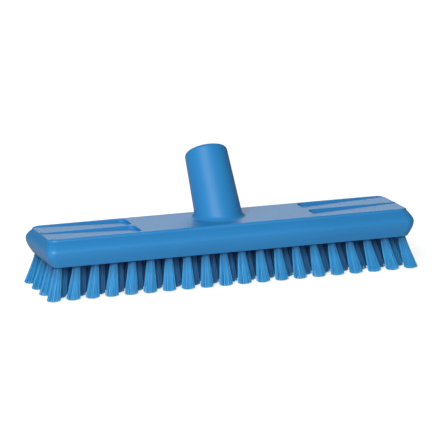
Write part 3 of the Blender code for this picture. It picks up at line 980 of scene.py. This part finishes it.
off_middle = maths("ABSOLUTE", maths("SUBTRACT", root_y, given["Field middle"]))
from_face = maths("SUBTRACT", given["Field half depth"], off_middle)
from_end = maths("SUBTRACT", given["Field half length"], maths("ABSOLUTE", root_x))
# This depth sets how much painted shade a filament gets in its colour
inside = maths("MINIMUM", from_face, maths("MULTIPLY", from_end, OPEN_END_SHARE))
places = stored(places, "inside", "FLOAT", inside)
print("Attribute: inside")

# %% A curve from each point, bent into place
line = add_node(tuft_tree, "GeometryNodeResampleCurve",
                {"Curve": add_node(tuft_tree, "GeometryNodeCurvePrimitiveLine").outputs[0],
                 "Count": FILAMENT_POINTS})
planted = add_node(tuft_tree, "GeometryNodeInstanceOnPoints",
                   {"Points": places, "Instance": line.outputs[0]})
loose = add_node(tuft_tree, "GeometryNodeRealizeInstances", {0: planted.outputs[0]}).outputs[0]
# The first stretch of a curve is the one in the hole, and the others are free
step = add_node(tuft_tree, "GeometryNodeSplineParameter").outputs["Index"]
free = maths("DIVIDE", maths("MAXIMUM", maths("SUBTRACT", step, 1.0), 0.0), FILAMENT_POINTS - 2)
buried = maths("MULTIPLY", maths("MAXIMUM", maths("SUBTRACT", 1.0, step), 0.0),
               given["Root depth"])
flare = maths("POWER", free, given["Flare power"])
weights = vector(X=flare, Y=flare, Z=free)
way = vectors("SUBTRACT", named("tip", "FLOAT_VECTOR"), named("mouth", "FLOAT_VECTOR"))
course = vectors("ADD", vectors("MULTIPLY_ADD", way, weights, named("mouth", "FLOAT_VECTOR")),
                 vector(Z=buried))
loose = stored(loose, "along", "FLOAT", free)
bent = add_node(tuft_tree, "GeometryNodeSetPosition", {"Geometry": loose, "Position": course})
print("Curve of", FILAMENT_POINTS, "points")

# %% A skin round each curve, trimmed at the floor
circle = add_node(tuft_tree, "GeometryNodeCurvePrimitiveCircle",
                  {"Resolution": FILAMENT_SIDES, "Radius": given["Filament radius"]})
skin = add_node(tuft_tree, "GeometryNodeCurveToMesh",
                {"Curve": bent.outputs[0], "Profile Curve": circle.outputs[0],
                 "Fill Caps": True})
skin_place = add_node(tuft_tree, "GeometryNodeInputPosition").outputs[0]
skin_x, skin_y, skin_z = add_node(tuft_tree, "ShaderNodeSeparateXYZ", {0: skin_place}).outputs
trimmed = add_node(tuft_tree, "GeometryNodeSetPosition",
                   {"Geometry": skin.outputs[0],
                    "Position": vector(X=skin_x, Y=skin_y, Z=maths("MAXIMUM", skin_z, 0.0))})
smooth = add_node(tuft_tree, "GeometryNodeSetShadeSmooth", {"Geometry": trimmed.outputs[0]})
end_tree(tuft_tree, smooth.outputs[0], given["Finish"], result)
print("Tree ready:", len(tuft_tree.nodes), "nodes")

# %% Seven rows of tufts
TUFT_SIZES = {"Filaments": 80, "Filament radius": 0.00027, "Root radius": 0.0028,
              "Tip radii": (0.0056, 0.0041, 0.0), "Root depth": 0.0100, "Flare power": 1.15,
              "Stray": 0.00014, "Trim scatter": 0.0003, "Tip dome": 0.0012,
              "Field middle": BLOCK_MIDDLE.y, "Field half depth": ROWS_HALF_DEPTH,
              "Field half length": LONG_ROW_HALF}
TUFT_SEED = 7
SEED_STEP = 10

for row in range(ROWS):
    tufts = grown(f"tuft_row_{row + 1}_filaments",
                  tuft_points(f"row_{row + 1}_points", [row], UNDERSIDE_Z), tuft_tree,
                  TUFT_SIZES | {"Seed": TUFT_SEED + SEED_STEP * row,
                                "Finish": bristle_plastic})
    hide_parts(f"tuft_row_{row + 1}")
    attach(tufts, "root")
    print(tufts.name, len(tufts.data.polygons), "faces")

# %% [markdown]
# ## The wire anchors
# A short piece of flat wire lies across the fold of each tuft and grips the wall of its hole.
# It's made once, with its sharp edges taken off, and the tree that made the holes repeats it.
# The finish is drawn steel: fine streaks along the wire, in its roughness and in its bump, and
# a patchy tarnish in its colour.

# %% Finish: drawn wire
WIRE_GREY = (0.50, 0.49, 0.47, 1)
WIRE_PALE = (0.66, 0.65, 0.62, 1)
WIRE_ROUGHNESS = (0.28, 0.42)
WIRE_BUMP = (0.15, 0.00003)
STREAK_STRETCH = (0.05, 1, 1)
STREAK_SCALE, STREAK_DETAIL = 6000.0, 2.0
TARNISH_SCALE, TARNISH_DETAIL = 300.0, 3.0

wire_metal, tree, spot = new_finish("anchor_wire_drawn")
streak_space = add_node(tree, "ShaderNodeMapping", {"Vector": spot, "Scale": STREAK_STRETCH})
streak = noise(tree, streak_space.outputs[0], STREAK_SCALE, STREAK_DETAIL)
tarnish = noise(tree, spot, TARNISH_SCALE, TARNISH_DETAIL)
coat(wire_metal, mix_colours(tree, tarnish, WIRE_GREY, WIRE_PALE),
     ranged(tree, streak, (0, 1), WIRE_ROUGHNESS), bump(tree, streak, *WIRE_BUMP), Metallic=1.0)
print("Finish:", wire_metal.name, len(tree.nodes), "nodes")

# %% A piece of wire on every tuft
ANCHOR_LENGTH = 0.0052
ANCHOR_THICKNESS = 0.0005
ANCHOR_LOW = 0.0098
ANCHOR_HEIGHT = 0.0022
ANCHOR_EDGE = 0.0001


def anchor_ring(inwards, z):
    """Eight points round the wire's outline, whose corners are cut off."""
    half_x = ANCHOR_LENGTH / 2 - inwards
    half_y = ANCHOR_THICKNESS / 2 - inwards
    return [Vector((side_x * (half_x - cut_x), side_y * (half_y - cut_y), z))
            for side_x, side_y, cut_x, cut_y in (
                (1, 1, 0, ANCHOR_EDGE), (1, 1, ANCHOR_EDGE, 0), (-1, 1, ANCHOR_EDGE, 0),
                (-1, 1, 0, ANCHOR_EDGE), (-1, -1, 0, ANCHOR_EDGE), (-1, -1, ANCHOR_EDGE, 0),
                (1, -1, ANCHOR_EDGE, 0), (1, -1, 0, ANCHOR_EDGE))]


anchor_top = ANCHOR_LOW + ANCHOR_HEIGHT
wire = lofted("wire", [anchor_ring(ANCHOR_EDGE, ANCHOR_LOW),
                       anchor_ring(0, ANCHOR_LOW + ANCHOR_EDGE),
                       anchor_ring(0, anchor_top - ANCHOR_EDGE),
                       anchor_ring(ANCHOR_EDGE, anchor_top)])
anchors = grown("tuft_anchors", tuft_points("anchor_points", range(ROWS), UNDERSIDE_Z),
                piece_tree, {"Piece": wire, "Finish": wire_metal})
bpy.data.objects.remove(wire)
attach(anchors, "root")
print("Anchors:", len(anchors.data.polygons), "faces")
